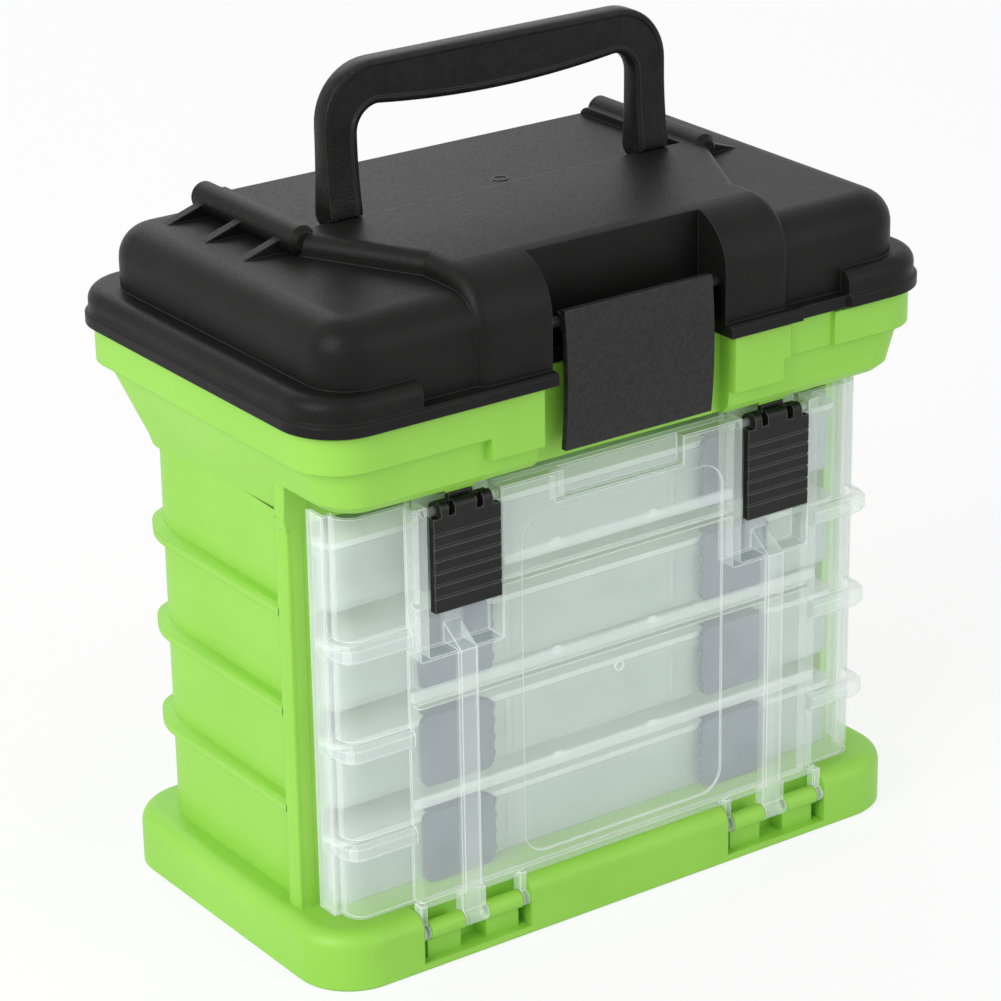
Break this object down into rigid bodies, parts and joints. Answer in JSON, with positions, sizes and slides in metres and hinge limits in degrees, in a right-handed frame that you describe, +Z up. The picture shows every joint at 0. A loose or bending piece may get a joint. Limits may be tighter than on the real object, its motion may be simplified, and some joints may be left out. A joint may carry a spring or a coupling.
{
  "type": "tackle box",
  "caption": "Upright tackle box with pull-out divided trays behind a clear drop-down door, an open top bin, and a hinged lid with a folding carry handle and a front latch.",
  "frame": {"origin": "middle of the rectangle that the lid covers, at the level of the base's underside", "axes": "+X to the right seen from the front, +Y from the door to the back, +Z up"},
  "size_m": [0.267, 0.1668, 0.307],
  "materials": {
    "green_shell": "lime green moulded plastic, satin with a fine grain",
    "black_shell": "black moulded plastic with a fine leather-like grain",
    "black_latch": "black moulded plastic, coarse spark-eroded grain on the latch plate",
    "clear_door": "clear moulded plastic, slightly milky with bright edges",
    "clear_tray": "clear moulded plastic, slightly milky",
    "tray_latch": "dark grey moulded plastic",
    "steel_pin": "plain bright wire pin"
  },
  "bodies": {
    "case": {"case_body": "green_shell", "lid_hinge_pins": "steel_pin"},
    "lid": {"lid": "black_shell", "handle_pins": "steel_pin"},
    "handle": {"handle": "black_shell"},
    "lid_latch": {"lid_latch": "black_latch"},
    "door": {"door": "clear_door"},
    "door_latch_left": {"door_latch_left": "black_latch"},
    "door_latch_right": {"door_latch_right": "black_latch"},
    "tray_1": {"tray_1": "clear_tray", "tray_1_lid": "clear_tray", "tray_1_latches": "tray_latch", "tray_1_dividers": "clear_tray"},
    "tray_2": {"tray_2": "clear_tray", "tray_2_lid": "clear_tray", "tray_2_latches": "tray_latch", "tray_2_dividers": "clear_tray"},
    "tray_3": {"tray_3": "clear_tray", "tray_3_lid": "clear_tray", "tray_3_latches": "tray_latch", "tray_3_dividers": "clear_tray"},
    "tray_4": {"tray_4": "clear_tray", "tray_4_lid": "clear_tray", "tray_4_latches": "tray_latch", "tray_4_dividers": "clear_tray"}
  },
  "joints": [
    {"name": "lid_hinge", "type": "hinge", "parent": "case", "child": "lid", "pos_m": [0, 0.079, 0.206], "axis": [-1, 0, 0], "range_deg": [0, 105]},
    {"name": "handle_hinge", "type": "hinge", "parent": "lid", "child": "handle", "pos_m": [0, 0.0053, 0.2552], "axis": [-1, 0, 0], "range_deg": [0, 90]},
    {"name": "lid_latch_hinge", "type": "hinge", "parent": "lid", "child": "lid_latch", "pos_m": [0, -0.0744, 0.2292], "axis": [-1, 0, 0], "range_deg": [0, 90]},
    {"name": "door_hinge", "type": "hinge", "parent": "case", "child": "door", "pos_m": [0, -0.0708, 0.0142], "axis": [1, 0, 0], "range_deg": [0, 90]},
    {"name": "door_latch_left_hinge", "type": "hinge", "parent": "door", "child": "door_latch_left", "pos_m": [-0.0678, -0.0672, 0.1698], "axis": [-1, 0, 0], "range_deg": [0, 100]},
    {"name": "door_latch_right_hinge", "type": "hinge", "parent": "door", "child": "door_latch_right", "pos_m": [0.0678, -0.0672, 0.1698], "axis": [-1, 0, 0], "range_deg": [0, 100]},
    {"name": "tray_1_slide", "type": "slide", "parent": "case", "child": "tray_1", "axis": [0, -1, 0], "range_m": [0, 0.0189]},
    {"name": "tray_2_slide", "type": "slide", "parent": "case", "child": "tray_2", "axis": [0, -1, 0], "range_m": [0, 0.0692]},
    {"name": "tray_3_slide", "type": "slide", "parent": "case", "child": "tray_3", "axis": [0, -1, 0], "range_m": [0, 0.0865]},
    {"name": "tray_4_slide", "type": "slide", "parent": "case", "child": "tray_4", "axis": [0, -1, 0], "range_m": [0, 0.0943]}
  ],
  "couplings": [
    {"joint": "tray_1_slide", "follows": "door_hinge", "m_per_rad": 0.012},
    {"joint": "tray_2_slide", "follows": "door_hinge", "m_per_rad": 0.044},
    {"joint": "tray_3_slide", "follows": "door_hinge", "m_per_rad": 0.055},
    {"joint": "tray_4_slide", "follows": "door_hinge", "m_per_rad": 0.06}
  ]
}
